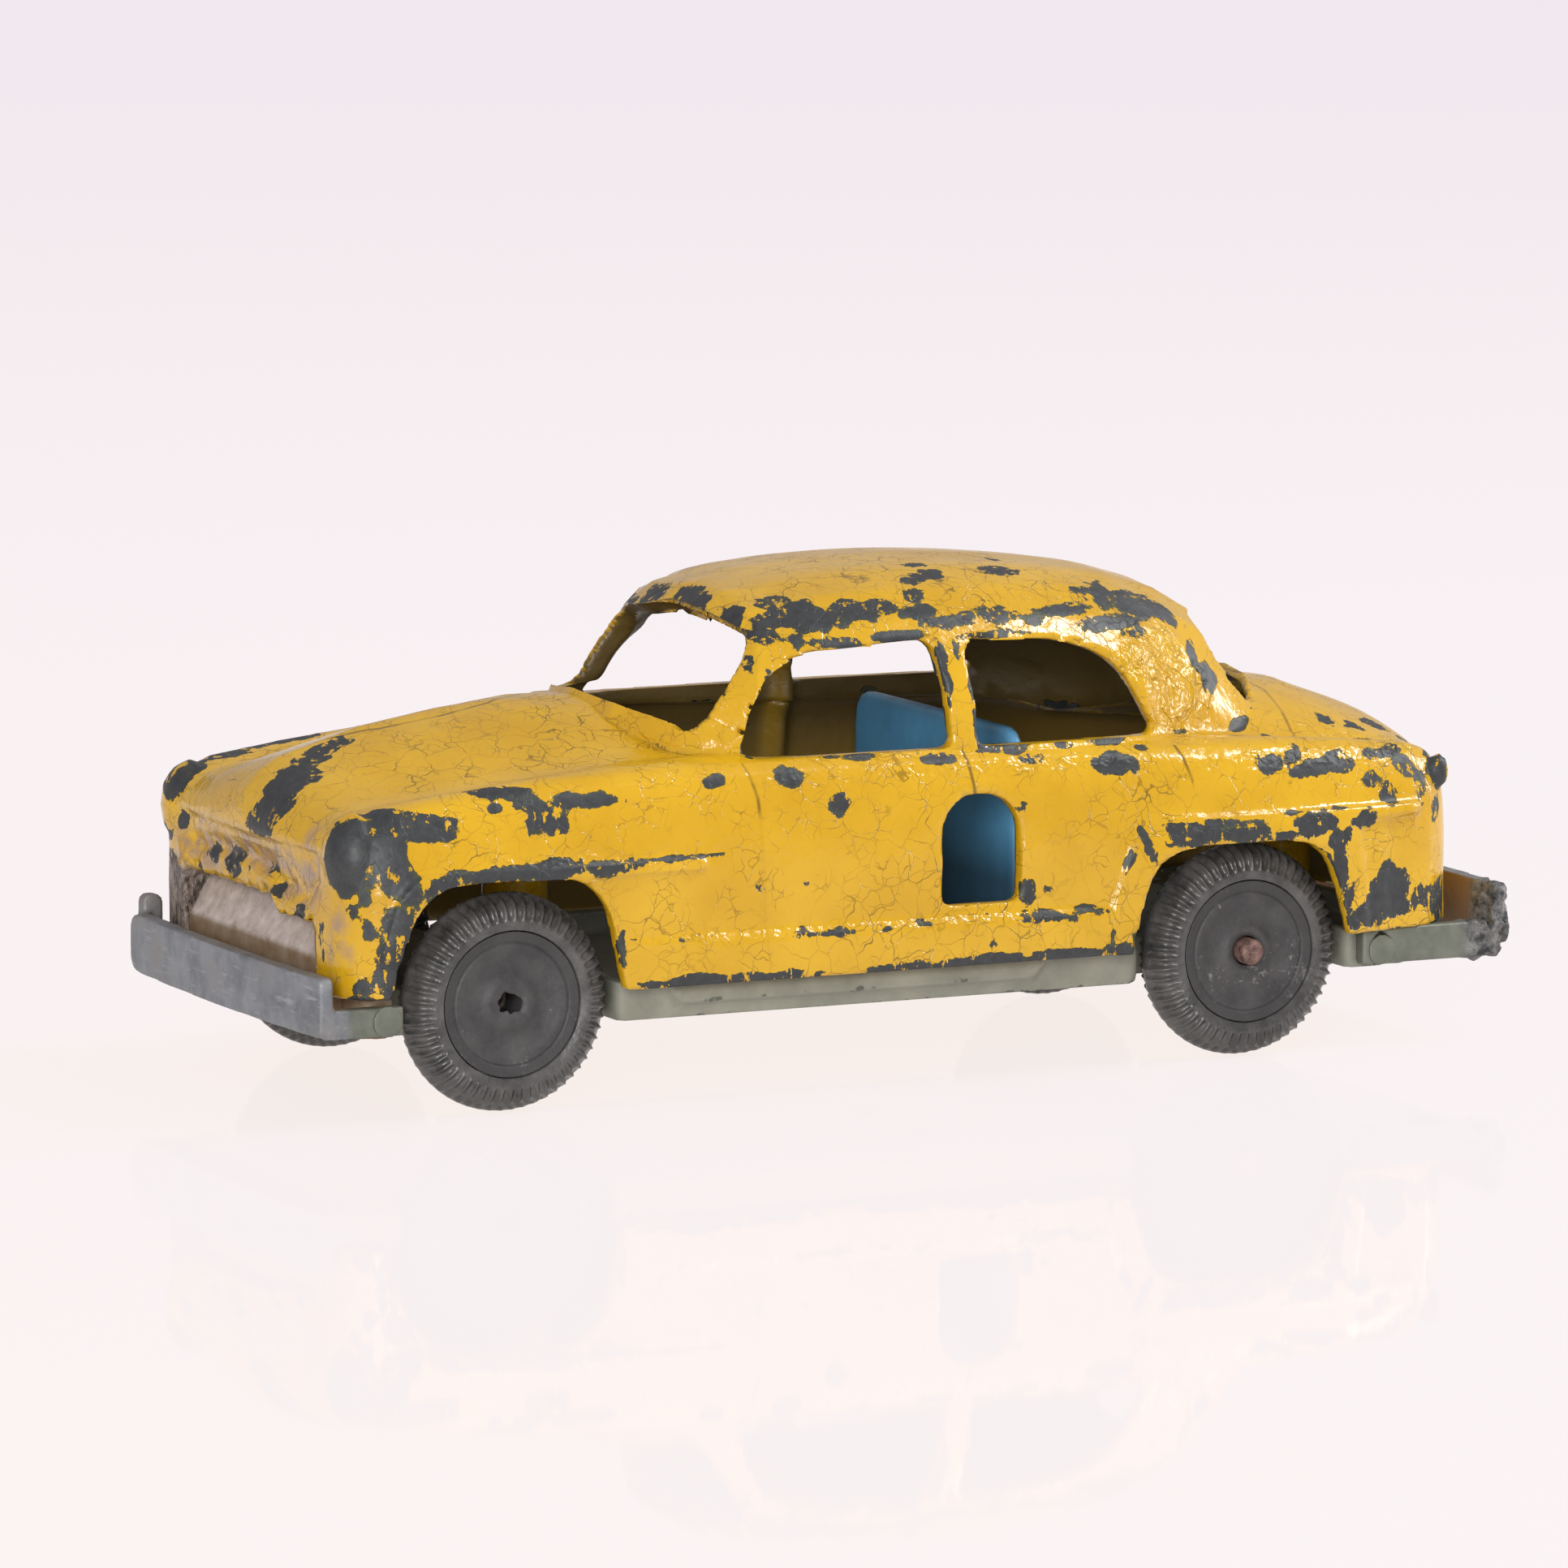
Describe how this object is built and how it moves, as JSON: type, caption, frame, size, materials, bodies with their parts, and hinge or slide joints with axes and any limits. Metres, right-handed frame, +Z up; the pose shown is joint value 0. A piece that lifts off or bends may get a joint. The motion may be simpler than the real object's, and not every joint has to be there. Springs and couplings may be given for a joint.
{
  "type": "toy car",
  "caption": "Hollow cast toy saloon car with open windows, strip bumpers, a sheet seat back and wheelsets that roll freely in a base plate.",
  "frame": {"origin": "under the middle of the overall length and width, on the surface the tyres stand on", "axes": "+X towards the nose, +Y to the car's left, +Z up"},
  "size_m": [0.0982, 0.0392, 0.0371],
  "materials": {
    "yellow_enamel": "thick gloss enamel over cast metal, crazed and chipped",
    "olive_base": "satin",
    "bare_strip": "dull, oxidised",
    "blue_sheet": "satin",
    "axle_steel": "dull, rusted",
    "hub_metal": "matt, dusty",
    "tyre_rubber": "matt",
    "rivet_metal": "dull"
  },
  "bodies": {
    "chassis": {"body_shell": "yellow_enamel", "base_plate": "olive_base", "front_bumper": "bare_strip", "rear_bumper": "bare_strip", "seat_back": "blue_sheet", "base_rivet_front": "rivet_metal", "base_rivet_rear": "rivet_metal", "seat_rivet_left": "rivet_metal", "seat_rivet_right": "rivet_metal", "bumper_rivet_front_left": "rivet_metal", "bumper_rivet_front_right": "rivet_metal", "bumper_rivet_rear_left": "rivet_metal", "bumper_rivet_rear_right": "rivet_metal"},
    "front_wheelset": {"front_axle": "axle_steel", "hub_front_left": "hub_metal", "hub_front_right": "hub_metal", "tyre_front_left": "tyre_rubber", "tyre_front_right": "tyre_rubber"},
    "rear_wheelset": {"rear_axle": "axle_steel", "hub_rear_left": "hub_metal", "hub_rear_right": "hub_metal", "tyre_rear_left": "tyre_rubber", "tyre_rear_right": "tyre_rubber"}
  },
  "joints": [
    {"name": "front_wheels_roll", "type": "hinge", "parent": "chassis", "child": "front_wheelset", "pos_m": [0.0333, 0, 0.00794], "axis": [0, 1, 0], "continuous": true},
    {"name": "rear_wheels_roll", "type": "hinge", "parent": "chassis", "child": "rear_wheelset", "pos_m": [-0.0267, 0, 0.00794], "axis": [0, 1, 0], "continuous": true}
  ]
}
